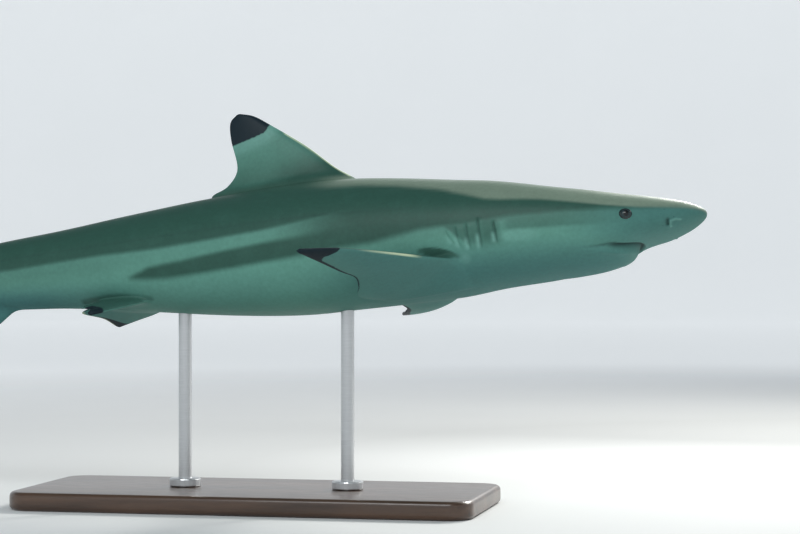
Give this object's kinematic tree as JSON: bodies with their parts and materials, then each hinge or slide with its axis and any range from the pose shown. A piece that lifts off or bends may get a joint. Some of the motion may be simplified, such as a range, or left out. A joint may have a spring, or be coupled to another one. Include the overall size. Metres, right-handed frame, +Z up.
{
  "type": "blacktip reef shark display model",
  "caption": "Life-size still model of a blacktip reef shark, swimming with a slight bank, held on a plain stand with a flat base and short rods.",
  "frame": {"origin": "middle of the underside of the stand's base, on the floor", "axes": "+X towards the shark's head along the length of the base, +Y towards its left flank, +Z up"},
  "size_m": [1.4091, 0.5214, 0.475],
  "materials": {
    "skin": "satin shark skin, olive grey back shading to a pale belly",
    "fin_skin": "satin fin skin with black tips",
    "eye": "wet gloss, dark",
    "stand_wood": "dark satin lacquer",
    "stand_steel": "brushed"
  },
  "bodies": {
    "root": {"head": "skin", "lower_jaw": "skin", "gill_region": "skin", "trunk_front": "skin", "trunk_rear": "skin", "tail_stem": "skin", "first_dorsal_fin": "fin_skin", "second_dorsal_fin": "fin_skin", "anal_fin": "fin_skin", "pectoral_fin_left": "fin_skin", "pectoral_fin_right": "fin_skin", "pelvic_fin_left": "fin_skin", "pelvic_fin_right": "fin_skin", "caudal_upper_lobe": "fin_skin", "caudal_lower_lobe": "fin_skin", "eye_left": "eye", "eye_right": "eye", "stand_base": "stand_wood", "stand_rod_front": "stand_steel", "stand_rod_rear": "stand_steel", "stand_collar_front": "stand_steel", "stand_collar_rear": "stand_steel"}
  },
  "joints": []
}
